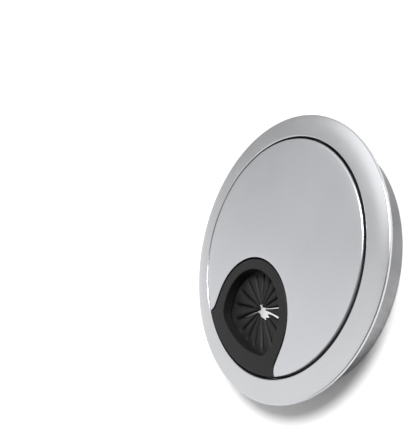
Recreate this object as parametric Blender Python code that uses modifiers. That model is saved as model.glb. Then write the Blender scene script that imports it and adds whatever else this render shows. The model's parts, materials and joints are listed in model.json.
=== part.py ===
"""Round desk grommet for an 80 mm desktop hole.

A die-cast flange ring with a plain sleeve carries a plastic seat ring. A flat
die-cast lid drops onto the seat ring and turns with it. The lid has a
bell-shaped notch open to its rim, closed by a black moulded frame with a
recessed outlet. A slit rubber membrane is clamped under the outlet by a
retainer plate.

Units are metres, +Z is up out of the desktop and the outlet faces -Y. The
bottom rim of the sleeve stands on z = 0. Lengths below are in millimetres.
"""

import math

import bmesh
import bpy

MM = 0.001

# --- flange ring and sleeve -------------------------------------------------
SLEEVE_H = 9.3        # bottom rim of the sleeve to the underside of the flange
FLANGE_R = 44.0
SLEEVE_R = 39.5
SLEEVE_BORE_R = 37.4
RING_R = 37.0         # inner edge of the flange, around the lid
RIM_LAND = 0.72       # upright land around the rim, over the flange underside
RIM_EDGE = 0.4        # radius between the land and the domed top
RIM_TILT = 14.0       # outward lean of the top at the rim, in degrees
LIP_TILT = 2.0        # and at the inner edge
LIP_EDGE = 0.4        # radius of the inner edge
LEDGE_R = 34.4
LEDGE_TOP = -3.2      # all heights from here on are over the flange underside
LEDGE_BOTTOM = -4.8

# --- lid --------------------------------------------------------------------
LID_R = 36.3
LID_TOP = 2.1
LID_UNDER = -0.1
LID_EDGE = 0.6        # radius of the rounded edge
SKIRT_R = 34.4
SKIRT_BOTTOM = -1.5

# --- seat ring --------------------------------------------------------------
SEAT_OUT_R = 36.7
SEAT_IN_R = 34.7
SEAT_TOP = -1.8
SEAT_BOTTOM = -2.9
LUG_ANGLES = (90.0, 10.0, 170.0)
LUG_W = 3.0
LUG_TOP = -0.5
LUG_GAP = 0.35

# --- notch in the lid, s runs from the axis towards the outlet --------------
NOTCH_S = 21.9        # centre of the round end
NOTCH_R = 19.15
FLARE_S = 27.0        # where the flank starts to flare
FLARE_R = 3.6
JOINT_GAP = 0.55      # between lid and frame

# --- frame ------------------------------------------------------------------
FRAME_TOP = 2.0
FRAME_EDGE = 0.3
FRAME_UNDER = -1.5
OPEN_S = 21.1         # round side of the outlet
OPEN_R = 14.6
OPEN_RIM_R = 30.7     # side of the outlet that follows the rim
OPEN_CORNER = 3.0
POCKET = 1.45         # how far the membrane pocket reaches beyond the outlet
FLANGE_OUT_R = 22.2   # hidden fixing flange around the frame, about NOTCH_S
FLANGE_LIMIT_R = 34.0
FLANGE_TOP = -1.4
FLANGE_BOTTOM = -2.6
EAR_R = 3.3
EAR_PITCH_R = 22.7
EAR_ANGLES = (180.0, 112.0, -112.0)
BOSS_R = 2.3
BOSS_BOTTOM = -1.1

# --- membrane and retainer --------------------------------------------------
IRIS_S = 18.5
IRIS_TOP = -1.8
IRIS_T = 0.8
IRIS_MARGIN = 1.15    # clamped beyond the outlet
IRIS_HOLE_R = 3.2
PETALS = 17
SLIT_W = 0.45
SLIT_PHASE = -6.0
SLIT_STOP = 2.0       # end of each slit inside the outlet's edge
RETAINER_TOP = -2.9
RETAINER_T = 1.2
RETAINER_R = 19.0
RETAINER_LIMIT_R = 33.8
RETAINER_CLEAR = 0.3

# --- screws -----------------------------------------------------------------
FRAME_SCREW_R = 1.1
FRAME_HEAD_R = 2.05
FRAME_HEAD_H = 1.25
FRAME_SCREW_TIP = 0.7
CLAMP_PITCH_R = 17.55
CLAMP_ANGLES = (75.0, -75.0, 135.0, -135.0)
CLAMP_SCREW_R = 0.75
CLAMP_HEAD_R = 1.4
CLAMP_HEAD_H = 0.9
CLAMP_SCREW_TIP = -0.3
FIT = 0.2             # clearance of a screw in its hole, and under its head

TURN_STEPS = 72


def clear_scene():
    for obj in list(bpy.data.objects):
        bpy.data.objects.remove(obj, do_unlink=True)


def new_collection(name):
    made = bpy.data.collections.new(name)
    bpy.context.scene.collection.children.link(made)
    return made


clear_scene()
PARTS = new_collection("desk_grommet")
CUTTERS = new_collection("cutters")
CUTTERS.hide_render = True


def material(name, color, rough, metal=0.0):
    made = bpy.data.materials.new(name)
    made.use_nodes = True
    node = made.node_tree.nodes["Principled BSDF"]
    node.inputs["Base Color"].default_value = (*color, 1.0)
    node.inputs["Roughness"].default_value = rough
    node.inputs["Metallic"].default_value = metal
    return made


def height(z):
    """Height over the flange underside, in mm, to world metres."""
    return (z + SLEEVE_H) * MM


def place(s, w):
    """Outlet coordinates in mm to world metres: the outlet faces -Y."""
    return w * MM, -s * MM


def finish(obj, mat):
    obj.data.materials.clear()
    obj.data.materials.append(mat)
    obj.data.shade_smooth()
    obj.data.set_sharp_from_angle(angle=math.radians(35))


def as_cutter(obj):
    for owner in list(obj.users_collection):
        owner.objects.unlink(obj)
    CUTTERS.objects.link(obj)
    obj.display_type = "WIRE"
    obj.hide_render = True
    return obj


# --- outlines, as (s, w) points ---------------------------------------------
def arc(cs, cw, radius, start, end, count):
    return [
        (
            cs + radius * math.cos(math.radians(start + (end - start) * i / count)),
            cw + radius * math.sin(math.radians(start + (end - start) * i / count)),
        )
        for i in range(count + 1)
    ]


def flare_end(radius, limit):
    """Angle along the flare at which it meets the circle of this limit radius."""
    low, high = 0.0, math.pi / 2
    centre = NOTCH_R + FLARE_R
    for _ in range(50):
        mid = (low + high) / 2
        s = FLARE_S + radius * math.sin(mid)
        w = centre - radius * math.cos(mid)
        if math.hypot(s, w) < limit:
            low = mid
        else:
            high = mid
    return low


def notch_side(inset, limit):
    """The notch from its vertex to the rim, on the +w side."""
    radius = FLARE_R + inset
    centre = NOTCH_R + FLARE_R
    points = arc(NOTCH_S, 0.0, NOTCH_R - inset, 180.0, 90.0, 22)
    last = flare_end(radius, limit)
    points += [
        (
            FLARE_S + radius * math.sin(last * i / 7),
            centre - radius * math.cos(last * i / 7),
        )
        for i in range(8)
    ]
    return points


def mirrored(side):
    """Both sides of an outline from one, vertex shared."""
    return [(s, -w) for s, w in reversed(side[1:])] + side


def lid_outline(inset=0.0, limit=LID_R):
    path = mirrored(notch_side(inset, limit))
    a = math.degrees(math.atan2(path[-1][1], path[-1][0]))
    return path + arc(0, 0, limit, a, 360 - a, 58)[1:-1]


def frame_outline(inset, limit):
    path = mirrored(notch_side(inset, limit))
    a = math.degrees(math.atan2(path[-1][1], path[-1][0]))
    return path + arc(0, 0, limit, a, -a, 16)[1:-1]


def lens(cs, radius, limit, corner, round_steps, rim_steps):
    """A circle about (cs, 0) cut off by the circle of the limit radius about
    the axis, with its two corners rounded."""
    inner, outer = radius - corner, limit - corner
    s = (outer**2 - inner**2 + cs**2) / (2 * cs)
    w = math.sqrt(outer**2 - s**2)
    a = math.degrees(math.atan2(w, s - cs))
    b = math.degrees(math.atan2(w, s))
    side = arc(cs, 0, radius, 180.0, a, round_steps)
    if corner > 0:
        side += arc(s, w, corner, a, b, 4)[1:]
    side += arc(0, 0, limit, b, 0.0, rim_steps)[1:]
    return side + [(p, -q) for p, q in reversed(side[1:-1])]


def opening(grow=0.0):
    return lens(OPEN_S, OPEN_R + grow, OPEN_RIM_R + grow, OPEN_CORNER + grow, 20, 8)


def opening_reach(angle):
    """Distance from the membrane's centre to the outlet's edge, in mm."""
    ca, sa = math.cos(math.radians(angle)), math.sin(math.radians(angle))

    def to_circle(cs, radius):
        off = IRIS_S - cs
        return -off * ca + math.sqrt(radius**2 - (off * sa) ** 2)

    return min(to_circle(OPEN_S, OPEN_R), to_circle(0.0, OPEN_RIM_R))


def polar(cs, radius, angle):
    return (
        cs + radius * math.cos(math.radians(angle)),
        radius * math.sin(math.radians(angle)),
    )


# --- solids -----------------------------------------------------------------
def to_mesh(obj, name, owner):
    """A mesh object from a curve's evaluated shape."""
    bpy.context.view_layer.update()
    graph = bpy.context.evaluated_depsgraph_get()
    data = bpy.data.meshes.new_from_object(obj.evaluated_get(graph))
    data.transform(obj.matrix_world)
    bpy.data.objects.remove(obj, do_unlink=True)
    work = bmesh.new()
    work.from_mesh(data)
    bmesh.ops.remove_doubles(work, verts=work.verts, dist=1e-6)
    bmesh.ops.recalc_face_normals(work, faces=work.faces)
    work.to_mesh(data)
    work.free()
    data.name = name
    made = bpy.data.objects.new(name, data)
    owner.objects.link(made)
    return made


def plate(name, outlines, bottom, top, edge=0.0, owner=None):
    """A flat plate from (s, w) outlines; the second and later ones are holes."""
    curve = bpy.data.curves.new(name + "_outline", "CURVE")
    curve.dimensions = "2D"
    curve.fill_mode = "BOTH"
    curve.extrude = ((top - bottom) / 2 - edge) * MM
    if edge:
        curve.bevel_depth = edge * MM
        curve.bevel_resolution = 2
        curve.offset = -edge * MM
    for outline in outlines:
        spline = curve.splines.new("POLY")
        spline.points.add(len(outline) - 1)
        for point, (s, w) in zip(spline.points, outline):
            point.co = (*place(s, w), 0.0, 1.0)
        spline.use_cyclic_u = True
    obj = bpy.data.objects.new(name + "_curve", curve)
    bpy.context.scene.collection.objects.link(obj)
    obj.location.z = height((top + bottom) / 2)
    return to_mesh(obj, name, owner or PARTS)


def cylinder(name, radius, bottom, top, s, w, segments=24, owner=None):
    work = bmesh.new()
    bmesh.ops.create_cone(
        work,
        cap_ends=True,
        segments=segments,
        radius1=radius * MM,
        radius2=radius * MM,
        depth=(top - bottom) * MM,
    )
    data = bpy.data.meshes.new(name)
    work.to_mesh(data)
    work.free()
    obj = bpy.data.objects.new(name, data)
    (owner or PARTS).objects.link(obj)
    obj.location = (*place(s, w), height((top + bottom) / 2))
    return obj


def box(name, size, s, w, z, turn=0.0, owner=None):
    """A box of this (along, across, up) size, in mm, turned about Z."""
    work = bmesh.new()
    bmesh.ops.create_cube(work, size=1.0)
    bmesh.ops.scale(work, vec=[side * MM for side in size], verts=work.verts)
    data = bpy.data.meshes.new(name)
    work.to_mesh(data)
    work.free()
    obj = bpy.data.objects.new(name, data)
    (owner or PARTS).objects.link(obj)
    obj.location = (*place(s, w), height(z))
    obj.rotation_euler.z = math.radians(turn)
    return obj


def turned(name, profile, s=0.0, w=0.0, steps=TURN_STEPS, closed=True):
    """A turned shape: the (radius, height) profile starts at the outer top."""
    data = bpy.data.meshes.new(name)
    work = bmesh.new()
    verts = [work.verts.new((r * MM, 0.0, height(z))) for r, z in profile]
    for a, b in zip(verts, verts[1:]):
        work.edges.new((a, b))
    if closed:
        work.edges.new((verts[-1], verts[0]))
    work.to_mesh(data)
    work.free()
    obj = bpy.data.objects.new(name, data)
    PARTS.objects.link(obj)
    obj.location = (*place(s, w), 0.0)
    screw = obj.modifiers.new("turn", "SCREW")
    screw.steps = screw.render_steps = steps
    screw.use_merge_vertices = True
    screw.merge_threshold = 1e-6
    screw.use_smooth_shade = True
    return obj


def combine(obj, other, operation):
    mod = obj.modifiers.new(operation.lower(), "BOOLEAN")
    mod.operation = operation
    mod.solver = "EXACT"
    mod.object = other


def add(obj, *others):
    for other in others:
        combine(obj, as_cutter(other), "UNION")


def cut(obj, *others):
    for other in others:
        combine(obj, as_cutter(other), "DIFFERENCE")


# --- materials --------------------------------------------------------------
SATIN_ZINC = material("satin_zinc_flange", (0.66, 0.66, 0.67), 0.33, 1.0)
SATIN_LID = material("satin_zinc_lid", (0.63, 0.63, 0.64), 0.36, 1.0)
BLACK_SEAT = material("black_acetal", (0.02, 0.02, 0.02), 0.45)
BLACK_FRAME = material("black_abs", (0.035, 0.035, 0.037), 0.5)
BLACK_RUBBER = material("black_rubber", (0.022, 0.022, 0.023), 0.7)
BLACK_PLATE = material("black_retainer_plastic", (0.03, 0.03, 0.03), 0.55)
ZINC_SCREW = material("zinc_plated_screw", (0.6, 0.6, 0.58), 0.35, 1.0)
DARK_SCREW = material("black_oxide_screw", (0.06, 0.06, 0.06), 0.4, 1.0)


# --- flange ring and sleeve -------------------------------------------------
def flange_crown():
    """The gently domed top of the flange, from the rim inwards. It leans
    outwards by RIM_TILT at the rim and by LIP_TILT at the inner edge."""
    outer = [
        (
            FLANGE_R - RIM_EDGE + RIM_EDGE * math.cos(math.radians(a)),
            RIM_LAND + RIM_EDGE * math.sin(math.radians(a)),
        )
        for a in (0, 18, 36, 54, 90 - RIM_TILT)
    ]
    radius, z = outer[-1]
    stop = RING_R + LIP_EDGE
    steps = 12
    width = (radius - stop) / steps
    for i in range(steps):
        across = (i + 0.5) / steps
        tilt = LIP_TILT + (RIM_TILT - LIP_TILT) * (1 - across) ** 2.2
        radius -= width
        z += width * math.tan(math.radians(tilt))
        outer.append((radius, z))
    lip = [
        (
            stop - LIP_EDGE * math.sin(math.radians(a)),
            z - LIP_EDGE + LIP_EDGE * math.cos(math.radians(a)),
        )
        for a in (22, 45, 68, 90)
    ]
    return outer + lip


def bezel_profile():
    crown = flange_crown()
    down = [
        (FLANGE_R, 0.2),
        (FLANGE_R - 0.2, 0.0),
        (SLEEVE_R + 0.35, 0.0),
        (SLEEVE_R + 0.1, -0.1),
        (SLEEVE_R, -0.35),
        (SLEEVE_R, 0.3 - SLEEVE_H),
        (SLEEVE_R - 0.3, -SLEEVE_H),
        (SLEEVE_BORE_R + 0.2, -SLEEVE_H),
        (SLEEVE_BORE_R, 0.2 - SLEEVE_H),
        (SLEEVE_BORE_R, LEDGE_BOTTOM - 1.2),
        (RING_R - 0.3, LEDGE_BOTTOM),
        (LEDGE_R, LEDGE_BOTTOM),
        (LEDGE_R, LEDGE_TOP),
        (RING_R, LEDGE_TOP),
    ]
    return [crown[0]] + down + list(reversed(crown[1:]))


bezel = turned("bezel_ring", bezel_profile())
finish(bezel, SATIN_ZINC)

# --- seat ring with three lugs that drive the lid ----------------------------
seat = turned(
    "seat_ring",
    [
        (SEAT_OUT_R, SEAT_TOP - 0.15),
        (SEAT_OUT_R, SEAT_BOTTOM + 0.15),
        (SEAT_OUT_R - 0.15, SEAT_BOTTOM),
        (SEAT_IN_R + 0.15, SEAT_BOTTOM),
        (SEAT_IN_R, SEAT_BOTTOM + 0.15),
        (SEAT_IN_R, SEAT_TOP - 0.15),
        (SEAT_IN_R + 0.15, SEAT_TOP),
        (SEAT_OUT_R - 0.15, SEAT_TOP),
    ],
)
finish(seat, BLACK_SEAT)


def lug(name, grow, bottom, top, angle, inner, outer):
    """A block across the ring at this angle about the axis."""
    middle = (inner + outer) / 2
    rad = math.radians(angle)
    return box(
        name,
        (outer - inner, LUG_W + 2 * grow, top - bottom),
        -middle * math.sin(rad),
        middle * math.cos(rad),
        (top + bottom) / 2,
        turn=angle,
    )


for i, angle in enumerate(LUG_ANGLES, 1):
    add(
        seat,
        lug(f"seat_lug_{i}", 0.0, SEAT_TOP - 0.5, LUG_TOP, angle, SEAT_IN_R + 0.2, LID_R - 0.25),
    )

# --- lid ----------------------------------------------------------------------
lid = plate("lid_plate", [lid_outline()], LID_UNDER, LID_TOP, LID_EDGE)


def skirt_outline():
    """A C-shaped band under the rim, ending clear of the frame."""
    stop = math.degrees(math.atan2(NOTCH_R + 3.2, FLARE_S + 2.0))
    outside = arc(0, 0, LID_R - LID_EDGE, stop, 360 - stop, 52)
    inside = arc(0, 0, SKIRT_R, 360 - stop, stop, 52)
    return outside + inside


add(lid, plate("lid_skirt", [skirt_outline()], SKIRT_BOTTOM, LID_UNDER + 0.5))
for i, angle in enumerate(EAR_ANGLES, 1):
    s, w = polar(NOTCH_S, EAR_PITCH_R, angle)
    add(lid, cylinder(f"lid_boss_{i}", BOSS_R, BOSS_BOTTOM, LID_UNDER + 0.5, s, w))
    cut(
        lid,
        cylinder(
            f"lid_pilot_{i}",
            FRAME_SCREW_R + FIT,
            BOSS_BOTTOM - 1.0,
            FRAME_SCREW_TIP + FIT,
            s,
            w,
        ),
    )
for i, angle in enumerate(LUG_ANGLES, 1):
    cut(
        lid,
        lug(f"lid_slot_{i}", LUG_GAP, SKIRT_BOTTOM - 1.0, LUG_TOP + 0.3, angle, SKIRT_R - 1.0, LID_R + 1.0),
    )
finish(lid, SATIN_LID)

# --- outlet frame ---------------------------------------------------------------
frame = plate(
    "outlet_frame",
    [frame_outline(JOINT_GAP, LID_R), opening()],
    FRAME_UNDER,
    FRAME_TOP,
    FRAME_EDGE,
)
frame_flange = plate(
    "frame_flange",
    [
        lens(NOTCH_S, FLANGE_OUT_R, FLANGE_LIMIT_R, 1.0, 20, 8),
        opening(POCKET),
    ],
    FLANGE_BOTTOM,
    FLANGE_TOP,
)
add(frame, frame_flange)
for i, angle in enumerate(EAR_ANGLES, 1):
    s, w = polar(NOTCH_S, EAR_PITCH_R, angle)
    add(frame, cylinder(f"frame_ear_{i}", EAR_R, FLANGE_BOTTOM, FLANGE_TOP, s, w))
    cut(
        frame,
        cylinder(
            f"frame_hole_{i}",
            FRAME_SCREW_R + FIT,
            FLANGE_BOTTOM - 1.0,
            FLANGE_TOP + 0.4,
            s,
            w,
        ),
    )
for i, angle in enumerate(CLAMP_ANGLES, 1):
    s, w = polar(OPEN_S, CLAMP_PITCH_R, angle)
    cut(
        frame,
        cylinder(
            f"frame_pilot_{i}",
            CLAMP_SCREW_R + 0.15,
            FLANGE_BOTTOM - 1.0,
            CLAMP_SCREW_TIP + FIT,
            s,
            w,
            segments=16,
        ),
    )
finish(frame, BLACK_FRAME)

# --- slit membrane -----------------------------------------------------------
iris = plate(
    "iris_seal",
    [
        opening(IRIS_MARGIN),
        list(reversed(arc(IRIS_S, 0, IRIS_HOLE_R, 0, 360, 34)[:-1])),
    ],
    IRIS_TOP - IRIS_T,
    IRIS_TOP,
)
for k in range(PETALS):
    angle = SLIT_PHASE + 360.0 * k / PETALS
    end = opening_reach(angle) - SLIT_STOP
    start = IRIS_HOLE_R - 0.5
    s, w = polar(IRIS_S, (start + end) / 2, angle)
    # s points to -Y and w to +X, so the box turns by angle - 90 degrees
    cut(
        iris,
        box(
            f"iris_slit_{k + 1:02d}",
            (end - start, SLIT_W, IRIS_T + 1.0),
            s,
            w,
            IRIS_TOP - IRIS_T / 2,
            turn=angle - 90.0,
        ),
    )
finish(iris, BLACK_RUBBER)

# --- retainer under the membrane ---------------------------------------------
retainer = plate(
    "iris_retainer",
    [
        lens(OPEN_S, RETAINER_R, RETAINER_LIMIT_R, 1.0, 20, 8),
        opening(RETAINER_CLEAR),
    ],
    RETAINER_TOP - RETAINER_T,
    RETAINER_TOP,
)
for i, angle in enumerate(CLAMP_ANGLES, 1):
    s, w = polar(OPEN_S, CLAMP_PITCH_R, angle)
    cut(
        retainer,
        cylinder(
            f"retainer_hole_{i}",
            CLAMP_SCREW_R + 0.15,
            RETAINER_TOP - RETAINER_T - 1.0,
            RETAINER_TOP + 1.0,
            s,
            w,
            segments=16,
        ),
    )
finish(retainer, BLACK_PLATE)


# --- screws, driven upwards from below ---------------------------------------
def screw(name, s, w, seat_z, tip_z, shank, head, head_h, mat):
    """A pan-head screw, its head under seat_z and its tip up at tip_z."""
    profile = [
        (0.0, tip_z),
        (shank * 0.6, tip_z),
        (shank, tip_z - shank * 0.7),
        (shank, seat_z),
        (head, seat_z),
        (head, seat_z - head_h * 0.45),
        (head * 0.9, seat_z - head_h * 0.78),
        (head * 0.6, seat_z - head_h),
        (0.0, seat_z - head_h),
    ]
    made = turned(name, profile, s, w, steps=20, closed=False)
    for turn in (0.0, 90.0):
        cut(
            made,
            box(
                f"{name}_drive_{int(turn)}",
                (head * 1.15, head * 0.26, head_h * 1.1),
                s,
                w,
                seat_z - head_h,
                turn=turn,
            ),
        )
    finish(made, mat)
    return made


for i, angle in enumerate(EAR_ANGLES, 1):
    s, w = polar(NOTCH_S, EAR_PITCH_R, angle)
    screw(
        f"frame_screw_{i}",
        s,
        w,
        FLANGE_BOTTOM - FIT,
        FRAME_SCREW_TIP,
        FRAME_SCREW_R,
        FRAME_HEAD_R,
        FRAME_HEAD_H,
        ZINC_SCREW,
    )
for i, angle in enumerate(CLAMP_ANGLES, 1):
    s, w = polar(OPEN_S, CLAMP_PITCH_R, angle)
    screw(
        f"clamp_screw_{i}",
        s,
        w,
        RETAINER_TOP - RETAINER_T - FIT,
        CLAMP_SCREW_TIP,
        CLAMP_SCREW_R,
        CLAMP_HEAD_R,
        CLAMP_HEAD_H,
        DARK_SCREW,
    )

# --- joints: the seat ring turns with the lid, the lid lifts off it ------------
spin = bpy.data.objects.new("lid_turn_axis", None)
lift = bpy.data.objects.new("lid_lift_axis", None)
for empty in (spin, lift):
    empty.location = (0.0, 0.0, height(SEAT_TOP))
    PARTS.objects.link(empty)
bpy.context.view_layer.update()
lift.parent = spin
lift.matrix_parent_inverse = spin.matrix_world.inverted()
bpy.context.view_layer.update()
for obj in list(PARTS.objects):
    if obj.type != "MESH" or obj.name == "bezel_ring":
        continue
    holder = spin if obj.name == "seat_ring" else lift
    obj.parent = holder
    obj.matrix_parent_inverse = holder.matrix_world.inverted()
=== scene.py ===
"""Looks of the round desk grommet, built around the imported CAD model."""

import json
import math

import bmesh
import bpy
from mathutils import Matrix, Vector
from mathutils import noise as mnoise
from mathutils.geometry import delaunay_2d_cdt

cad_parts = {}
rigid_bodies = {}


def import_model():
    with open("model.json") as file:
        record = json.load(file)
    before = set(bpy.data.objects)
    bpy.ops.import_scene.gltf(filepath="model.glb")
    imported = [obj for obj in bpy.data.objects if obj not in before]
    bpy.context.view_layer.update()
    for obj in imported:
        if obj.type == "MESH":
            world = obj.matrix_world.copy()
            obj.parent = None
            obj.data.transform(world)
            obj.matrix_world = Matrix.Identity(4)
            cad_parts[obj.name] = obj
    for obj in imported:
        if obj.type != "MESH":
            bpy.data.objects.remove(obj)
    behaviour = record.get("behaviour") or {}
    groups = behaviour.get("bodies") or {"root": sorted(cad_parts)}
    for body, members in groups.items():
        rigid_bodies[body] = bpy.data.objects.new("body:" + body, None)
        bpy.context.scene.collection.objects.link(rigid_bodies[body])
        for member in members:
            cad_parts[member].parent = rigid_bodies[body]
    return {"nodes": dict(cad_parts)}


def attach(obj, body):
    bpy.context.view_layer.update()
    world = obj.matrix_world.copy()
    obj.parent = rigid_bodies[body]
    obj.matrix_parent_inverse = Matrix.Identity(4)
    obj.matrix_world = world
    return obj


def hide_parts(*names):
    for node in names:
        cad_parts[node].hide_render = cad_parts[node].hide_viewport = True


for old in list(bpy.data.objects):
    bpy.data.objects.remove(old, do_unlink=True)

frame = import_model()
NODES = frame["nodes"]
bpy.context.view_layer.update()

MM = 0.001

# --- the CAD's driving dimensions, in mm, heights over the floor -------------
FLANGE_UNDER = 9.3
FLANGE_R = 44.0
SLEEVE_R = 39.5
SLEEVE_BORE_R = 37.4
RING_R = 37.0
RIM_LAND = 10.02
RIM_EDGE = 0.4
RIM_TILT = 14.0
LIP_TILT = 2.0
LIP_EDGE = 0.4
LEDGE_R = 34.4
LEDGE_TOP = 6.1
LEDGE_BOTTOM = 4.5

LID_R = 36.3
LID_TOP = 11.4
LID_UNDER = 9.2
SKIRT_R = 34.4
SKIRT_BOTTOM = 7.8

NOTCH_S = 21.9
NOTCH_R = 19.15
FLARE_S = 27.0
FLARE_R = 3.6

FRAME_TOP = 11.3
OPEN_S = 21.1
OPEN_R = 14.6
OPEN_RIM_R = 30.7
OPEN_CORNER = 3.0
EAR_PITCH_R = 22.7
EAR_ANGLES = (180.0, 112.0, -112.0)
LUG_ANGLES = (90.0, 10.0, 170.0)

IRIS_S = 18.5
IRIS_TOP = 7.5
IRIS_T = 0.8
IRIS_MARGIN = 1.15
PETALS = 17
SLIT_PHASE = -6.0


# --- outlines, as (s, w) points ----------------------------------------------
def arc(cs, cw, radius, start, end, count):
    return [
        (
            cs + radius * math.cos(math.radians(start + (end - start) * i / count)),
            cw + radius * math.sin(math.radians(start + (end - start) * i / count)),
        )
        for i in range(count + 1)
    ]


def flare_end(radius, limit):
    low, high = 0.0, math.pi / 2
    centre = NOTCH_R + FLARE_R
    for _ in range(50):
        mid = (low + high) / 2
        s = FLARE_S + radius * math.sin(mid)
        w = centre - radius * math.cos(mid)
        if math.hypot(s, w) < limit:
            low = mid
        else:
            high = mid
    return low


def notch_side(inset, limit, round_steps=44, flare_steps=14):
    radius = FLARE_R + inset
    centre = NOTCH_R + FLARE_R
    points = arc(NOTCH_S, 0.0, NOTCH_R - inset, 180.0, 90.0, round_steps)
    last = flare_end(radius, limit)
    points += [
        (
            FLARE_S + radius * math.sin(last * i / flare_steps),
            centre - radius * math.cos(last * i / flare_steps),
        )
        for i in range(flare_steps + 1)
    ]
    return points


def mirrored(side):
    return [(s, -w) for s, w in reversed(side[1:])] + side


def lens(cs, radius, limit, corner, round_steps, rim_steps, corner_steps=8):
    inner, outer = radius - corner, limit - corner
    s = (outer**2 - inner**2 + cs**2) / (2 * cs)
    w = math.sqrt(outer**2 - s**2)
    a = math.degrees(math.atan2(w, s - cs))
    b = math.degrees(math.atan2(w, s))
    side = arc(cs, 0, radius, 180.0, a, round_steps)
    side += arc(s, w, corner, a, b, corner_steps)[1:]
    side += arc(0, 0, limit, b, 0.0, rim_steps)[1:]
    return side + [(p, -q) for p, q in reversed(side[1:-1])]


def opening(grow=0.0):
    return lens(OPEN_S, OPEN_R + grow, OPEN_RIM_R + grow, OPEN_CORNER + grow, 52, 22)


REACHES = {}


def opening_reach(angle, grow=0.0):
    """Distance from the membrane's centre to the outlet's edge, in mm."""
    key = (round(angle % 360.0, 4), grow)
    if key not in REACHES:
        ca, sa = math.cos(math.radians(angle)), math.sin(math.radians(angle))
        outline = opening(grow)
        best = 0.0
        for (s1, w1), (s2, w2) in zip(outline, outline[1:] + outline[:1]):
            ds, dw = s2 - s1, w2 - w1
            det = ca * dw - sa * ds
            if abs(det) < 1e-12:
                continue
            far = ((s1 - IRIS_S) * dw - w1 * ds) / det
            share = ((s1 - IRIS_S) * sa - w1 * ca) / det
            if far > best and -1e-9 <= share <= 1 + 1e-9:
                best = far
        REACHES[key] = best
    return REACHES[key]


def polar(cs, radius, angle):
    return (
        cs + radius * math.cos(math.radians(angle)),
        radius * math.sin(math.radians(angle)),
    )


def place(s, w):
    """Outlet coordinates in mm to world metres: the outlet faces -Y."""
    return w * MM, -s * MM


# --- node helpers ------------------------------------------------------------
class Nodes:
    """Short calls for building one material's node tree."""

    def __init__(self, name):
        self.mat = bpy.data.materials.new(name)
        self.mat.use_nodes = True
        self.tree = self.mat.node_tree
        self.shader = self.tree.nodes["Principled BSDF"]
        self.coords = self.add("ShaderNodeTexCoord").outputs["Object"]

    def add(self, kind, **values):
        node = self.tree.nodes.new(kind)
        for key, value in values.items():
            setattr(node, key, value)
        return node

    def link(self, a, b):
        self.tree.links.new(a, b)

    def value(self, name, amount):
        self.shader.inputs[name].default_value = amount

    def noise(self, scale, detail=4.0, rough=0.55, coords=None, distortion=0.0):
        node = self.add("ShaderNodeTexNoise")
        node.inputs["Scale"].default_value = scale
        node.inputs["Detail"].default_value = detail
        node.inputs["Roughness"].default_value = rough
        node.inputs["Distortion"].default_value = distortion
        self.link(coords or self.coords, node.inputs["Vector"])
        return node.outputs["Fac"]

    def voronoi(self, scale, feature="F1", out="Distance", coords=None):
        node = self.add("ShaderNodeTexVoronoi", feature=feature)
        node.inputs["Scale"].default_value = scale
        self.link(coords or self.coords, node.inputs["Vector"])
        return node.outputs[out]

    def ramp(self, fac, stops, smooth=False):
        node = self.add("ShaderNodeValToRGB")
        node.color_ramp.interpolation = "EASE" if smooth else "LINEAR"
        elements = node.color_ramp.elements
        while len(elements) < len(stops):
            elements.new(0.5)
        for element, (at, color) in zip(elements, stops):
            element.position = at
            if isinstance(color, (int, float)):
                color = (color,) * 3
            element.color = (*color, 1.0)
        self.link(fac, node.inputs["Fac"])
        return node.outputs["Color"]

    def remap(self, value, low, high, to_low, to_high, clamp=True):
        node = self.add("ShaderNodeMapRange", clamp=clamp)
        for key, amount in (
            ("From Min", low),
            ("From Max", high),
            ("To Min", to_low),
            ("To Max", to_high),
        ):
            node.inputs[key].default_value = amount
        self.link(value, node.inputs["Value"])
        return node.outputs["Result"]

    def math(self, operation, a, b=None):
        node = self.add("ShaderNodeMath", operation=operation)
        for socket, item in zip(node.inputs, (a, b)):
            if item is None:
                continue
            if isinstance(item, (int, float)):
                socket.default_value = item
            else:
                self.link(item, socket)
        return node.outputs[0]

    def mix(self, fac, a, b, blend="MIX"):
        node = self.add("ShaderNodeMix", data_type="RGBA", blend_type=blend)
        for index, item in ((0, fac), (6, a), (7, b)):
            socket = node.inputs[index]
            if isinstance(item, (int, float)) and index == 0:
                socket.default_value = item
            elif isinstance(item, (tuple, list)):
                socket.default_value = (*item, 1.0)
            else:
                self.link(item, socket)
        return node.outputs[2]

    def bump(self, height, distance, strength=1.0, normal=None):
        node = self.add("ShaderNodeBump")
        node.inputs["Strength"].default_value = strength
        node.inputs["Distance"].default_value = distance
        self.link(height, node.inputs["Height"])
        if normal:
            self.link(normal, node.inputs["Normal"])
        return node.outputs["Normal"]


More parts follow.
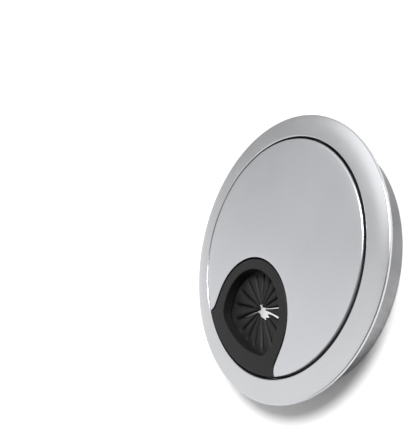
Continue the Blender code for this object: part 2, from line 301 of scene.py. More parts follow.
def satin_zinc(name, tint, rough, pits=False, painted_side_shade=False):
    """Satin nickel over a zinc casting: a fine blasted grain, soft clouds in the
    gloss, and, on the raw sleeve, small casting pits and drag marks."""
    n = Nodes(name)
    n.value("Metallic", 1.0)
    cloud = n.noise(46.0, 3.0, 0.5)
    blotch = n.noise(190.0, 4.0, 0.6)
    tone = n.ramp(
        cloud,
        [(0.30, tuple(c * 0.955 for c in tint)), (0.72, tint)],
    )
    tone = n.mix(
        n.remap(blotch, 0.35, 0.75, 0.0, 0.16), tone, tuple(c * 0.9 for c in tint)
    )
    if painted_side_shade:
        # painted shade: the raw sleeve is made darker towards the +Y side, away from the outlet
        side = n.add("ShaderNodeVectorMath", operation="DOT_PRODUCT")
        side.inputs[1].default_value = (0.42, 0.91, 0.0)
        n.link(n.coords, side.inputs[0])
        spread = n.math("ADD", side.outputs["Value"], n.remap(blotch, 0.3, 0.7, -0.004, 0.004))
        side_shade = n.ramp(n.remap(spread, -0.006, 0.037, 0.0, 1.0), [(0.0, 1.0), (1.0, 0.42)])
        tone = n.mix(1.0, tone, side_shade, blend="MULTIPLY")
    grain = n.noise(9000.0, 3.0, 0.7)
    fine = n.noise(2600.0, 5.0, 0.65)
    gloss = n.math(
        "ADD",
        n.remap(cloud, 0.3, 0.7, rough - 0.03, rough + 0.03),
        n.remap(grain, 0.3, 0.7, -0.03, 0.03),
    )
    normal = n.bump(grain, 0.000012, 0.35)
    normal = n.bump(fine, 0.00002, 0.25, normal)
    if pits:
        spots = n.voronoi(520.0)
        gate = n.noise(150.0, 2.0, 0.5)
        pit = n.math(
            "MULTIPLY",
            n.remap(spots, 0.04, 0.16, 1.0, 0.0),
            n.remap(gate, 0.52, 0.62, 0.0, 1.0),
        )
        streak = n.add("ShaderNodeMapping")
        streak.inputs["Scale"].default_value = (1.0, 1.0, 0.22)
        n.link(n.coords, streak.inputs["Vector"])
        drag = n.noise(900.0, 5.0, 0.7, coords=streak.outputs["Vector"])
        tone = n.mix(pit, tone, tuple(c * 0.18 for c in tint))
        tone = n.mix(
            n.remap(drag, 0.42, 0.75, 0.0, 0.65), tone, tuple(c * 0.55 for c in tint)
        )
        gloss = n.math("ADD", gloss, n.remap(drag, 0.35, 0.75, -0.04, 0.12))
        lowered = n.math("MULTIPLY", pit, -1.0)
        normal = n.bump(lowered, 0.00025, 0.8, normal)
        normal = n.bump(drag, 0.00006, 0.5, normal)
    n.link(tone, n.shader.inputs["Base Color"])
    n.link(gloss, n.shader.inputs["Roughness"])
    n.link(normal, n.shader.inputs["Normal"])
    return n.mat


def moulded_plastic(name, dark, light, rough, grain_scale, grain_depth, speck=0.5):
    """Black moulded plastic with a spark-eroded matt grain."""
    n = Nodes(name)
    cloud = n.noise(60.0, 3.0, 0.5)
    grain = n.noise(grain_scale, 2.0, 0.75)
    cell = n.voronoi(grain_scale * 0.62)
    tone = n.ramp(grain, [(0.32, dark), (0.68, light)])
    tone = n.mix(n.remap(cell, 0.1, 0.55, speck, 0.0), tone, light)
    tone = n.mix(
        n.remap(cloud, 0.35, 0.7, 0.0, 0.25), tone, tuple(c * 0.8 for c in dark)
    )
    gloss = n.remap(grain, 0.3, 0.7, rough + 0.07, rough - 0.07)
    relief = n.math("ADD", grain, n.math("MULTIPLY", cell, 0.6))
    n.link(tone, n.shader.inputs["Base Color"])
    n.link(gloss, n.shader.inputs["Roughness"])
    n.link(n.bump(relief, grain_depth, 0.6), n.shader.inputs["Normal"])
    n.value("Specular IOR Level", 0.22)
    return n.mat


def rubber(name):
    """Matt black rubber with a dusty bloom, and painted shade along the petals' slit edges."""
    n = Nodes(name)
    cloud = n.noise(170.0, 4.0, 0.6)
    grain = n.noise(5200.0, 3.0, 0.7)
    tone = n.ramp(cloud, [(0.30, (0.009, 0.009, 0.009)), (0.75, (0.016, 0.016, 0.016))])
    tone = n.mix(n.remap(grain, 0.5, 0.8, 0.0, 0.35), tone, (0.020, 0.020, 0.0205))
    # painted shade: the petals' edges along the slits are painted near black, as the shade in the
    # creases
    slit_shade = n.add("ShaderNodeAttribute", attribute_name="slit_painted_shade").outputs["Fac"]
    tone = n.mix(n.remap(slit_shade, 0.05, 0.55, 0.0, 1.0), tone, (0.0008, 0.0008, 0.0008))
    n.value("Specular IOR Level", 0.25)
    n.link(tone, n.shader.inputs["Base Color"])
    matt = n.math("ADD", n.remap(cloud, 0.3, 0.7, 0.50, 0.66), n.remap(slit_shade, 0.0, 0.5, 0.0, 0.34))
    n.link(matt, n.shader.inputs["Roughness"])
    normal = n.bump(grain, 0.00004, 0.5)
    n.link(n.bump(cloud, 0.00025, 0.4, normal), n.shader.inputs["Normal"])
    return n.mat


def screw_metal(name, tint, rough):
    """Rolled and plated screw steel, with fine scratches and worn high spots."""
    n = Nodes(name)
    n.value("Metallic", 1.0)
    patch = n.noise(700.0, 4.0, 0.6)
    scratch = n.noise(5200.0, 3.0, 0.7)
    tone = n.ramp(patch, [(0.3, tuple(c * 0.75 for c in tint)), (0.7, tint)])
    n.link(tone, n.shader.inputs["Base Color"])
    n.link(n.remap(patch, 0.3, 0.7, rough + 0.08, rough - 0.05), n.shader.inputs["Roughness"])
    n.link(n.bump(scratch, 0.00002, 0.6), n.shader.inputs["Normal"])
    return n.mat


FLANGE_METAL = satin_zinc("satin_zinc_flange", (0.675, 0.681, 0.70), 0.25)
SLEEVE_METAL = satin_zinc("cast_zinc_sleeve", (0.54, 0.54, 0.55), 0.34, pits=True, painted_side_shade=True)
LID_METAL = satin_zinc("satin_zinc_lid", (0.687, 0.694, 0.72), 0.30)
LID_CAST = satin_zinc("cast_zinc_underside", (0.52, 0.52, 0.53), 0.42, pits=True)
# painted shade: the lid's notch wall gets a near-black metal so the joint beside the outlet reads
# dark
LID_WALL_SHADE = satin_zinc("notch_wall_painted_shade", (0.085, 0.085, 0.088), 0.5, pits=True)
FRAME_PLASTIC = moulded_plastic(
    "black_abs_frame", (0.008, 0.008, 0.0085), (0.019, 0.019, 0.020), 0.52, 4200.0, 0.00006
)
SEAT_PLASTIC = moulded_plastic(
    "black_acetal_seat", (0.014, 0.014, 0.014), (0.026, 0.026, 0.027), 0.34, 2600.0, 0.00003, 0.2
)
RETAINER_PLASTIC = moulded_plastic(
    "black_retainer_plastic", (0.018, 0.018, 0.018), (0.036, 0.036, 0.037), 0.5, 3200.0, 0.00005, 0.35
)
RUBBER = rubber("black_rubber_membrane")
ZINC_SCREW = screw_metal("zinc_plated_screw", (0.62, 0.62, 0.60), 0.30)
DARK_SCREW = screw_metal("black_oxide_screw", (0.075, 0.073, 0.07), 0.36)


def repaint(name, *materials):
    data = NODES[name].data
    data.materials.clear()
    for mat in materials:
        data.materials.append(mat)


# --- mesh helpers --------------------------------------------------------------
def to_object(work, name, body, node=None, materials=(), angle=None):
    data = bpy.data.meshes.new(name)
    bmesh.ops.recalc_face_normals(work, faces=work.faces)
    work.to_mesh(data)
    work.free()
    for mat in materials:
        data.materials.append(mat)
    data.shade_smooth()
    if angle:
        data.set_sharp_from_angle(angle=math.radians(angle))
    obj = bpy.data.objects.new(name, data)
    bpy.context.scene.collection.objects.link(obj)
    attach(obj, body)
    if node:
        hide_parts(node)
    return obj


def fillet(points, radius, steps=5):
    """Rounds the corners of a closed (r, z) profile; radius may be one number
    or one for each corner."""
    out = []
    count = len(points)
    for i, point in enumerate(points):
        size = radius[i] if isinstance(radius, (list, tuple)) else radius
        here = Vector(point)
        back = Vector(points[i - 1]) - here
        on = Vector(points[(i + 1) % count]) - here
        if size <= 0 or back.length < 1e-9 or on.length < 1e-9:
            out.append(tuple(here))
            continue
        half = back.angle(on) / 2
        if half > math.radians(86):
            out.append(tuple(here))
            continue
        reach = min(size / math.tan(half), back.length * 0.49, on.length * 0.49)
        size = reach * math.tan(half)
        start, end = here + back.normalized() * reach, here + on.normalized() * reach
        centre = here + (back.normalized() + on.normalized()).normalized() * (
            size / math.sin(half)
        )
        a, b = start - centre, end - centre
        turn = a.angle_signed(b) if a.length > 1e-9 and b.length > 1e-9 else 0.0
        for k in range(steps + 1):
            t = -turn * k / steps
            out.append(
                tuple(
                    centre
                    + Vector(
                        (
                            a.x * math.cos(t) - a.y * math.sin(t),
                            a.x * math.sin(t) + a.y * math.cos(t),
                        )
                    )
                )
            )
    return out


def revolve(profile, steps, centre=(0.0, 0.0), material_of=None):
    """A bmesh turned from a closed (r, z) profile in mm about a vertical axis."""
    work = bmesh.new()
    rings = []
    for k in range(steps):
        a = 2 * math.pi * k / steps
        rings.append(
            [
                work.verts.new(
                    (
                        centre[0] + r * math.cos(a) * MM,
                        centre[1] + r * math.sin(a) * MM,
                        z * MM,
                    )
                )
                for r, z in profile
            ]
        )
    count = len(profile)
    for k in range(steps):
        one, two = rings[k], rings[(k + 1) % steps]
        for i in range(count):
            j = (i + 1) % count
            face = work.faces.new((one[i], one[j], two[j], two[i]))
            if material_of:
                face.material_index = material_of(
                    (profile[i][0] + profile[j][0]) / 2,
                    (profile[i][1] + profile[j][1]) / 2,
                )
    return work


# --- flange ring and sleeve ----------------------------------------------------
def bezel_profile():
    crown = [
        (
            FLANGE_R - RIM_EDGE + RIM_EDGE * math.cos(math.radians(a)),
            RIM_LAND + RIM_EDGE * math.sin(math.radians(a)),
        )
        for a in [(90 - RIM_TILT) * i / 8 for i in range(9)]
    ]
    radius, z = crown[-1]
    stop = RING_R + LIP_EDGE
    steps = 48
    width = (radius - stop) / steps
    for i in range(steps):
        across = (i + 0.5) / steps
        tilt = LIP_TILT + (RIM_TILT - LIP_TILT) * (1 - across) ** 2.2
        radius -= width
        z += width * math.tan(math.radians(tilt))
        if i % 3 == 2:
            crown.append((radius, z))
    lip = [
        (
            stop - LIP_EDGE * math.sin(math.radians(a)),
            z - LIP_EDGE + LIP_EDGE * math.cos(math.radians(a)),
        )
        for a in (11, 22, 33, 45, 56, 68, 79, 90)
    ]
    inner = fillet(
        [
            (RING_R, LEDGE_TOP),
            (LEDGE_R, LEDGE_TOP),
            (LEDGE_R, LEDGE_BOTTOM),
            (RING_R - 0.3, LEDGE_BOTTOM),
            (SLEEVE_BORE_R, LEDGE_BOTTOM - 1.2),
            (SLEEVE_BORE_R, 0.2),
            (SLEEVE_BORE_R + 0.2, 0.0),
            (SLEEVE_R - 0.3, 0.0),
            (SLEEVE_R, 0.3),
            (SLEEVE_R, FLANGE_UNDER - 0.35),
            (SLEEVE_R + 0.1, FLANGE_UNDER - 0.1),
            (SLEEVE_R + 0.35, FLANGE_UNDER),
            (FLANGE_R - 0.2, FLANGE_UNDER),
            (FLANGE_R, FLANGE_UNDER + 0.2),
        ],
        [0.15, 0.2, 0.2, 0.1, 0.1, 0.1, 0.1, 0.15, 0.15, 0.1, 0.1, 0.1, 0.1, 0.1],
        3,
    )
    return crown + lip + inner


def bezel_zone(r, z):
    return 1 if z < FLANGE_UNDER + 0.02 and r < SLEEVE_R + 0.4 else 0


to_object(
    revolve(bezel_profile(), 288, material_of=bezel_zone),
    "bezel_casting",
    "bezel",
    "bezel_ring",
    (FLANGE_METAL, SLEEVE_METAL),
    angle=40,
)


# --- flat and rounded plates -----------------------------------------------------
def plate(name, outlines, bottom, top, edge=0.0, edge_steps=2):
    """A mesh object with evenly rounded edges, from (s, w) outlines; the second
    and later ones are holes."""
    curve = bpy.data.curves.new(name + "_outline", "CURVE")
    curve.dimensions = "2D"
    curve.fill_mode = "BOTH"
    curve.extrude = ((top - bottom) / 2 - edge) * MM
    if edge:
        curve.bevel_depth = edge * MM
        curve.bevel_resolution = edge_steps
        curve.offset = -edge * MM
    for outline in outlines:
        spline = curve.splines.new("POLY")
        spline.points.add(len(outline) - 1)
        for point, (s, w) in zip(spline.points, outline):
            point.co = (*place(s, w), 0.0, 1.0)
        spline.use_cyclic_u = True
    holder = bpy.data.objects.new(name + "_curve", curve)
    bpy.context.scene.collection.objects.link(holder)
    holder.location.z = (top + bottom) / 2 * MM
    bpy.context.view_layer.update()
    graph = bpy.context.evaluated_depsgraph_get()
    data = bpy.data.meshes.new_from_object(holder.evaluated_get(graph))
    data.transform(holder.matrix_world)
    bpy.data.objects.remove(holder, do_unlink=True)
    work = bmesh.new()
    work.from_mesh(data)
    bmesh.ops.remove_doubles(work, verts=work.verts, dist=1e-6)
    bmesh.ops.recalc_face_normals(work, faces=work.faces)
    work.to_mesh(data)
    work.free()
    obj = bpy.data.objects.new(name, data)
    bpy.context.scene.collection.objects.link(obj)
    return obj


def rod(name, radius, bottom, top, s, w, segments=48):
    work = bmesh.new()
    bmesh.ops.create_cone(
        work,
        cap_ends=True,
        segments=segments,
        radius1=radius * MM,
        radius2=radius * MM,
        depth=(top - bottom) * MM,
    )
    bmesh.ops.translate(
        work, vec=(*place(s, w), (top + bottom) / 2 * MM), verts=work.verts
    )
    data = bpy.data.meshes.new(name)
    work.to_mesh(data)
    work.free()
    obj = bpy.data.objects.new(name, data)
    bpy.context.scene.collection.objects.link(obj)
    return obj


def block(name, size, s, w, z, turn):
    work = bmesh.new()
    bmesh.ops.create_cube(work, size=1.0)
    bmesh.ops.scale(work, vec=[side * MM for side in size], verts=work.verts)
    spot = Matrix.Translation((*place(s, w), z * MM)) @ Matrix.Rotation(
        math.radians(turn), 4, "Z"
    )
    bmesh.ops.transform(work, matrix=spot, verts=work.verts)
    data = bpy.data.meshes.new(name)
    work.to_mesh(data)
    work.free()
    obj = bpy.data.objects.new(name, data)
    bpy.context.scene.collection.objects.link(obj)
    return obj


def carve(obj, steps):
    """Applies each (operation, tool) in turn and throws the tools away."""
    for index, (operation, tool) in enumerate(steps):
        mod = obj.modifiers.new(f"step_{index}", "BOOLEAN")
        mod.operation = operation
        mod.solver = "EXACT"
        mod.object = tool
        mod.material_mode = "TRANSFER"
    bpy.context.view_layer.update()
    graph = bpy.context.evaluated_depsgraph_get()
    done = bpy.data.meshes.new_from_object(obj.evaluated_get(graph))
    obj.modifiers.clear()
    old = obj.data
    obj.data = done
    bpy.data.meshes.remove(old)
    for _, tool in steps:
        bpy.data.objects.remove(tool, do_unlink=True)


def inside(outline, s, w):
    """Even-odd test of a point against a closed outline."""
    hit = False
    for (s1, w1), (s2, w2) in zip(outline, outline[1:] + outline[:1]):
        if (w1 > w) != (w2 > w) and s < (s2 - s1) * (w - w1) / (w2 - w1) + s1:
            hit = not hit
    return hit


def cap(work, rims, extra, height_of, up=True):
    """Fills the area between rims of bmesh vertices, the first one the outside,
    with an even triangulation that also runs through the extra (s, w) points."""
    points, edges, owners = [], [], []
    outlines = []
    for rim in rims:
        first = len(points)
        outline = []
        for vert in rim:
            s, w = -vert.co.y / MM, vert.co.x / MM
            points.append(Vector((s, w)))
            owners.append(vert)
            outline.append((s, w))
        outlines.append(outline)
        count = len(rim)
        edges += [(first + i, first + (i + 1) % count) for i in range(count)]
    for s, w in extra:
        points.append(Vector((s, w)))
        owners.append(work.verts.new((*place(s, w), height_of(s, w) * MM)))
    coords, _, faces, from_verts, _, _ = delaunay_2d_cdt(points, edges, [], 0, 1e-7)
    verts = [owners[source[0]] if source else None for source in from_verts]
    for face in faces:
        s = sum(coords[i].x for i in face) / len(face)
        w = sum(coords[i].y for i in face) / len(face)
        if not inside(outlines[0], s, w) or any(
            inside(hole, s, w) for hole in outlines[1:]
        ):
            continue
        corners = [verts[i] for i in face]
        if None in corners or len(set(corners)) < 3:
            continue
        try:
            work.faces.new(corners if up else corners[::-1])
        except ValueError:
            pass


def bridge(work, one, two):
    count = len(one)
    for i in range(count):
        j = (i + 1) % count
        work.faces.new((one[i], one[j], two[j], two[i]))


# --- lid --------------------------------------------------------------------------
RIM_ROUND = 0.45      # radius of the lid's rim
NOTCH_ROUND = 0.14    # radius of its edge along the notch
ROLL_FROM = 30.5      # outside this radius the polish rolls the face down
ROLL = 0.13


def lid_roll(radius):
    """How far polishing has lowered the lid's face at this radius."""
    reach = max(0.0, (radius - ROLL_FROM) / (LID_R - ROLL_FROM))
    return ROLL * reach**2.4


def lid_loop(work, angle, top):
    """One loop round the lid's edge: 0 is the upright side and 90 the flat face."""
    lean = math.radians(angle)
    inset, drop = 1 - math.cos(lean), 1 - math.sin(lean)
    path = mirrored(notch_side(-NOTCH_ROUND * inset, LID_R - NOTCH_ROUND * inset))
    verts = []
    for s, w in path:
        z = top - NOTCH_ROUND * drop - lid_roll(math.hypot(s, w))
        verts.append(work.verts.new((*place(s, w), z * MM)))
    start = math.atan2(path[-1][1], path[-1][0])
    count = 260
    for i in range(1, count):
        a = start + (2 * math.pi - 2 * start) * i / count
        away = min(i, count - i) / count * (2 * math.pi - 2 * start) * LID_R
        blend = min(1.0, away / 4.0)
        size = NOTCH_ROUND + (RIM_ROUND - NOTCH_ROUND) * blend * blend * (3 - 2 * blend)
        radius = LID_R - size * inset
        z = top - size * drop - lid_roll(radius)
        verts.append(
            work.verts.new((*place(radius * math.cos(a), radius * math.sin(a)), z * MM))
        )
    return verts


def make_lid():
    work = bmesh.new()
    loops = [lid_loop(work, angle, LID_TOP) for angle in range(0, 91, 10)]
    low = [
        work.verts.new((v.co.x, v.co.y, (LID_UNDER + 0.25) * MM)) for v in loops[0]
    ]
    path = mirrored(notch_side(-0.2, LID_R - 0.2))
    start = math.degrees(math.atan2(path[-1][1], path[-1][0]))
    under = path + arc(0, 0, LID_R - 0.2, start, 360 - start, 260)[1:-1]
    base = [work.verts.new((*place(s, w), LID_UNDER * MM)) for s, w in under]
    for one, two in zip([base, low] + loops, [low] + loops):
        bridge(work, one, two)
    rim = [(-v.co.y / MM, v.co.x / MM) for v in loops[-1]]
    spread = []
    radius = 1.1
    while radius < LID_R - RIM_ROUND - 0.35:
        count = max(8, round(2 * math.pi * radius / (1.9 if radius < 30 else 1.5)))
        for i in range(count):
            a = 2 * math.pi * (i + 0.5 * (round(radius * 10) % 2)) / count
            s, w = radius * math.cos(a), radius * math.sin(a)
            if inside(rim, s, w) and min(
                (s - p) ** 2 + (w - q) ** 2 for p, q in rim
            ) > 0.45**2:
                spread.append((s, w))
        radius += 1.9 if radius < 29 else 0.62
    cap(
        work,
        [loops[-1]],
        spread,
        lambda s, w: LID_TOP - lid_roll(math.hypot(s, w)),
    )
    cap(work, [base], [], None, up=False)
    bmesh.ops.recalc_face_normals(work, faces=work.faces)
    data = bpy.data.meshes.new("lid_casting")
    work.to_mesh(data)
    work.free()
    lid = bpy.data.objects.new("lid_casting", data)
    bpy.context.scene.collection.objects.link(lid)

    stop = math.degrees(math.atan2(NOTCH_R + 3.2, FLARE_S + 2.0))
    outside = arc(0, 0, LID_R - 0.6, stop, 360 - stop, 200)
    within = arc(0, 0, SKIRT_R, 360 - stop, stop, 200)
    steps = [
        ("UNION", plate("lid_skirt", [outside + within], SKIRT_BOTTOM, LID_UNDER + 0.5, 0.12))
    ]
    for i, angle in enumerate(EAR_ANGLES):
        s, w = polar(NOTCH_S, EAR_PITCH_R, angle)
        steps.append(("UNION", rod(f"boss_{i}", 2.3, 8.2, LID_UNDER + 0.5, s, w)))
    for i, angle in enumerate(EAR_ANGLES):
        s, w = polar(NOTCH_S, EAR_PITCH_R, angle)
        steps.append(("DIFFERENCE", rod(f"pilot_{i}", 1.3, 7.0, 10.2, s, w, 32)))
    for i, angle in enumerate(LUG_ANGLES):
        middle = (SKIRT_R + LID_R) / 2
        rad = math.radians(angle)
        steps.append(
            (
                "DIFFERENCE",
                block(
                    f"slot_{i}",
                    (LID_R - SKIRT_R + 2.0, 3.7, 2.3),
                    -middle * math.sin(rad),
                    middle * math.cos(rad),
                    7.95,
                    angle,
                ),
            )
        )
    # shallow ejector-pin marks on the cast underside
    for i, (s, w) in enumerate(((-26, 0), (-13, 24), (-13, -24), (-20, 11), (-20, -11))):
        steps.append(("DIFFERENCE", rod(f"ejector_{i}", 1.6, 8.6, LID_UNDER + 0.12, s, w)))
    carve(lid, steps)
    # the booleans leave slivers along the skirt and the bosses
    work = bmesh.new()
    work.from_mesh(lid.data)
    bmesh.ops.triangulate(work, faces=work.faces)
    bmesh.ops.remove_doubles(work, verts=work.verts, dist=4e-6)
    bmesh.ops.dissolve_degenerate(work, edges=work.edges, dist=2e-6)
    bmesh.ops.triangulate(work, faces=work.faces)
    work.to_mesh(lid.data)
    work.free()
    lid.data.materials.clear()
    lid.data.materials.append(LID_METAL)
    lid.data.materials.append(LID_CAST)
    lid.data.materials.append(LID_WALL_SHADE)
    # index 2, the notch wall, carries the painted shade of the joint; index 1 is the cast underside
    for face in lid.data.polygons:
        spot = face.center
        if (
            abs(face.normal.z) < 0.45
            and spot.z > (LID_UNDER + 0.1) * MM
            and math.hypot(spot.x, spot.y) < (LID_R - 0.15) * MM
            and math.hypot(-spot.y / MM - NOTCH_S, spot.x / MM) < 21.0
        ):
            face.material_index = 2
        elif face.center.z < (LID_UNDER + 0.05) * MM or (
            face.normal.z < 0.3 and face.center.length < 0.0353 and face.center.z < 0.0103
        ):
            face.material_index = 1
    lid.data.shade_smooth()
    lid.data.set_sharp_from_angle(angle=math.radians(38))
    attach(lid, "lid")
    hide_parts("lid_plate")
    return lid


make_lid()


# --- slit membrane: 17 petals, uneven and bent by use ---------------------------------
# (distance of the tip from the middle in mm, droop of the tip in mm)
PETAL_TIPS = (
    (2.0, 0.5),
    (2.4, 0.6),
    (3.4, 0.8),
    (3.6, 0.9),
    (3.3, 1.3),
    (1.7, 0.7),
    (1.6, 0.5),
    (0.9, 0.4),
    (0.6, 0.4),
    (1.0, 0.5),
    (1.5, 0.5),
    (1.6, 0.6),
    (1.9, 0.6),
    (0.9, 0.4),
    (0.9, 0.5),
    (2.3, 0.8),
    (1.8, 0.6),
)
# slit sides that a cable has pulled open: (petal, side) to (mm, how far out)
PULLED = {
    (4, 1): (0.50, 0.97),
    (5, -1): (0.05, 0.9),
    (5, 1): (0.12, 0.85),
    (6, -1): (0.12, 0.85),
    (14, 1): (0.18, 0.70),
    (15, -1): (0.32, 0.70),
    (15, 1): (0.10, 0.35),
    (16, -1): (0.10, 0.35),
}
SLIT_HALF = 0.003     # half the width of an undisturbed slit
ROOT_INSET = 0.45     # how far inside the outlet's edge a petal starts to bend


def membrane_point(angle, radius, z):
    s = IRIS_S + radius * math.cos(math.radians(angle))
    w = radius * math.sin(math.radians(angle))
    return (*place(s, w), z * MM)


def make_membrane():
    work = bmesh.new()
    slit_shade = work.verts.layers.float.new("slit_painted_shade")
    step = 360.0 / PETALS
    across, along = 14, 24
    crease = 1.15
    root_ring = {}
    # closer together towards the slits, where the crease is
    shares = [0.5 - 0.5 * math.cos(math.pi * i / across) for i in range(across + 1)]

    def root(angle):
        key = round(angle % 360.0, 4) % 360.0
        if key not in root_ring:
            reach = opening_reach(angle) - ROOT_INSET
            root_ring[key] = work.verts.new(membrane_point(angle, reach, IRIS_TOP))
        return root_ring[key]

    for k in range(PETALS):
        tip, droop = PETAL_TIPS[k]
        first = SLIT_PHASE + step * k
        rows = []
        for j in range(along):
            row = []
            for u in shares:
                angle = first + step * u
                reach = opening_reach(angle) - ROOT_INSET
                side = 1 if u > 0.5 else -1
                edge = abs(2 * u - 1)
                # a petal narrows to a blunt rounded tip
                blunt = tip + 0.55 * edge**2.2
                v = j / along
                radius = blunt + (reach - blunt) * v
                more, far = PULLED.get((k, side), (0.0, 1.0))
                gap = SLIT_HALF + more * min(1.0, max(0.0, (far - v) * 4.0))
                gap *= min(1.0, (1 - v) * 6)
                shift = math.degrees(gap / max(radius, 0.4)) * edge * side
                shift = max(-step * 0.45, min(step * 0.45, shift))
                # neighbours meet at one height along the slit between them
                out = 1 - radius / reach
                hold = min(1.0, out * 6.5)
                bow = 1 - edge**4.5
                near = PETAL_TIPS[(k + side) % PETALS][1]
                fall = droop + (near - droop) * 0.5 * edge**2
                z = IRIS_TOP - fall * out**1.7
                z -= crease * hold * (1 - bow) * min(1.0, 0.3 + radius / 5.5)
                z += 0.10 * hold * (1 - edge**2)
                z += 0.10 * mnoise.noise(Vector((k * 5.1, v * 3.0, u))) * bow * hold
                vert = work.verts.new(membrane_point(angle - shift, radius, z))
                # painted shade along the slit edges, read by the rubber's colour
                vert[slit_shade] = hold * max(0.0, (edge - 0.80) / 0.20)
                row.append(vert)
            rows.append(row)
        rows.append([root(first + step * u) for u in shares])
        for one, two in zip(rows, rows[1:]):
            for i in range(across):
                work.faces.new((one[i], one[i + 1], two[i + 1], two[i]))
    # the clamped band outside the slits
    angles = [SLIT_PHASE + step * (k + u) for k in range(PETALS) for u in shares[:-1]]
    inner = [root(angle) for angle in angles]
    for band in range(1, 5):
        outer = []
        for angle in angles:
            start = opening_reach(angle) - ROOT_INSET
            end = opening_reach(angle, IRIS_MARGIN - 0.05)
            outer.append(
                work.verts.new(membrane_point(angle, start + (end - start) * band / 4, IRIS_TOP))
            )
        bridge(work, inner, outer)
        inner = outer
    bmesh.ops.recalc_face_normals(work, faces=work.faces)
    if sum(face.normal.z for face in work.faces) < 0:
        bmesh.ops.reverse_faces(work, faces=work.faces)
    data = bpy.data.meshes.new("membrane")
    work.to_mesh(data)
    work.free()
    data.shade_smooth()
    obj = bpy.data.objects.new("slit_membrane", data)
    bpy.context.scene.collection.objects.link(obj)
    thick = obj.modifiers.new("thickness", "SOLIDIFY")
    thick.thickness = 0.55 * MM
    thick.offset = -1.0
    thick.use_even_offset = False
    bpy.context.view_layer.update()
    graph = bpy.context.evaluated_depsgraph_get()
    done = bpy.data.meshes.new_from_object(obj.evaluated_get(graph))
    obj.modifiers.clear()
    obj.data = done
    bpy.data.meshes.remove(data)
    done.materials.append(RUBBER)
    done.shade_smooth()
    done.set_sharp_from_angle(angle=math.radians(50))
    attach(obj, "lid")
    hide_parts("iris_seal")
    return obj


make_membrane()


# --- the CAD pieces that keep their own shape -------------------------------------
repaint("seat_ring", SEAT_PLASTIC)
repaint("iris_retainer", RETAINER_PLASTIC)
repaint("outlet_frame", FRAME_PLASTIC)
for i in (1, 2, 3):
    repaint(f"frame_screw_{i}", ZINC_SCREW)
for i in (1, 2, 3, 4):
    repaint(f"clamp_screw_{i}", DARK_SCREW)


# --- floor, light and camera --------------------------------------------------------
def add_floor():
    work = bmesh.new()
    bmesh.ops.create_grid(work, x_segments=2, y_segments=2, size=3.0)
    data = bpy.data.meshes.new("floor")
    work.to_mesh(data)
    work.free()
    floor = bpy.data.objects.new("floor", data)
    floor.location.z = -0.00002
    bpy.context.scene.collection.objects.link(floor)
    mat = bpy.data.materials.new("pale_floor")
    mat.use_nodes = True
    shader = mat.node_tree.nodes["Principled BSDF"]
    shader.inputs["Base Color"].default_value = (0.93, 0.93, 0.93, 1.0)
    shader.inputs["Roughness"].default_value = 0.9
    shader.inputs["Specular IOR Level"].default_value = 0.1
    data.materials.append(mat)
    return floor


add_floor()


def add_world():
    """A pale studio: a bright wall round the -Y side, a softbox high over the
    far side, and a darker room behind the camera."""
    world = bpy.data.worlds.new("studio")
    bpy.context.scene.world = world
    world.use_nodes = True
    tree = world.node_tree
    back = tree.nodes["Background"]
    coords = tree.nodes.new("ShaderNodeTexCoord")

    def term(direction, low, high, a, b):
        dot = tree.nodes.new("ShaderNodeVectorMath")
        dot.operation = "DOT_PRODUCT"
        dot.inputs[1].default_value = Vector(direction).normalized()
        tree.links.new(coords.outputs["Generated"], dot.inputs[0])
        ramp = tree.nodes.new("ShaderNodeMapRange")
        ramp.interpolation_type = "SMOOTHSTEP"
        for key, amount in (
            ("From Min", low),
            ("From Max", high),
            ("To Min", a),
            ("To Max", b),
        ):
            ramp.inputs[key].default_value = amount
        tree.links.new(dot.outputs["Value"], ramp.inputs["Value"])
        return ramp.outputs["Result"]

    def combine(operation, a, b):
        node = tree.nodes.new("ShaderNodeMath")
        node.operation = operation
        tree.links.new(a, node.inputs[0])
        tree.links.new(b, node.inputs[1])
        return node.outputs[0]

    wall = term((0.0, -1.0, 0.0), -0.08, 0.40, 0.47, 0.97)
    room = term((-1.0, 0.0, 0.0), -0.25, 0.12, 0.22, 1.0)
    box = term((-0.499, 0.337, 0.799), 0.915, 0.99, 0.0, 0.95)
    over = term((-0.25, 0.02, 0.97), 0.90, 1.0, 0.0, 0.08)
    total = combine("ADD", combine("MULTIPLY", wall, room), combine("ADD", box, over))
    tree.links.new(total, back.inputs["Strength"])
    back.inputs["Color"].default_value = (1.0, 1.0, 1.0, 1.0)


add_world()


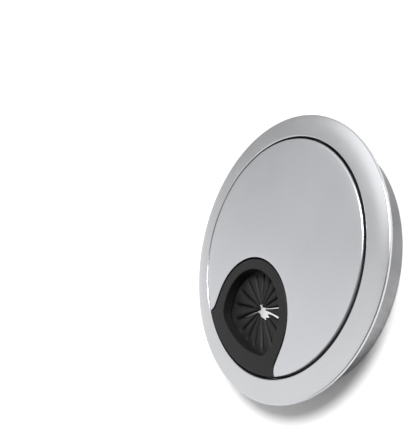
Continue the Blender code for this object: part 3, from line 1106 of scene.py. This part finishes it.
def add_area(name, position, target, size, power, spread=math.pi, seen=True):
    data = bpy.data.lights.new(name, "AREA")
    data.shape = "RECTANGLE"
    data.size, data.size_y = size
    data.energy = power
    data.spread = spread
    obj = bpy.data.objects.new(name, data)
    obj.location = position
    direction = Vector(target) - Vector(position)
    obj.rotation_euler = direction.to_track_quat("-Z", "Y").to_euler()
    bpy.context.scene.collection.objects.link(obj)
    obj.visible_camera = seen
    return obj


def add_sun(name, towards, strength, angle):
    data = bpy.data.lights.new(name, "SUN")
    data.energy = strength
    data.angle = math.radians(angle)
    obj = bpy.data.objects.new(name, data)
    obj.rotation_euler = Vector(towards).to_track_quat("Z", "Y").to_euler()
    bpy.context.scene.collection.objects.link(obj)
    return obj


add_sun("key", (0.30, 0.62, 0.72), 3.8, 20.0)
add_area(
    "under_glow", (0.0, -0.0185, 0.0040), (0.0, -0.0185, 0.0), (0.02, 0.02), 0.0013, seen=False
)


def add_camera():
    azimuth, elevation = math.radians(15.10), math.radians(37.95)
    distance, focal = 0.1692, 543.7
    tilt, swing, roll = math.radians(8.06), math.radians(2.45), math.radians(78.48)
    away = Vector(
        (
            math.cos(elevation) * math.cos(azimuth),
            math.cos(elevation) * math.sin(azimuth),
            math.sin(elevation),
        )
    )
    place_at = Vector((0.0, 0.0, 0.010)) + away * distance
    ahead = -away
    right = ahead.cross(Vector((0.0, 0.0, 1.0))).normalized()
    down = ahead.cross(right)
    base = Matrix((right, down, ahead)).transposed()
    turn = (
        Matrix.Rotation(tilt, 3, "X")
        @ Matrix.Rotation(swing, 3, "Y")
        @ Matrix.Rotation(roll, 3, "Z")
    )
    axes = base @ turn
    right, down, ahead = axes.col[0], axes.col[1], axes.col[2]
    data = bpy.data.cameras.new("camera")
    data.sensor_fit = "AUTO"
    data.sensor_width = 36.0
    data.lens = focal / 432.0 * 36.0
    data.clip_start, data.clip_end = 0.005, 20.0
    camera = bpy.data.objects.new("camera", data)
    camera.matrix_world = Matrix.Translation(place_at) @ Matrix(
        (right, -down, -ahead)
    ).transposed().to_4x4()
    bpy.context.scene.collection.objects.link(camera)
    bpy.context.scene.camera = camera


add_camera()
bpy.context.scene.view_settings.view_transform = "Standard"
bpy.context.scene.view_settings.look = "None"

bpy.context.view_layer.update()
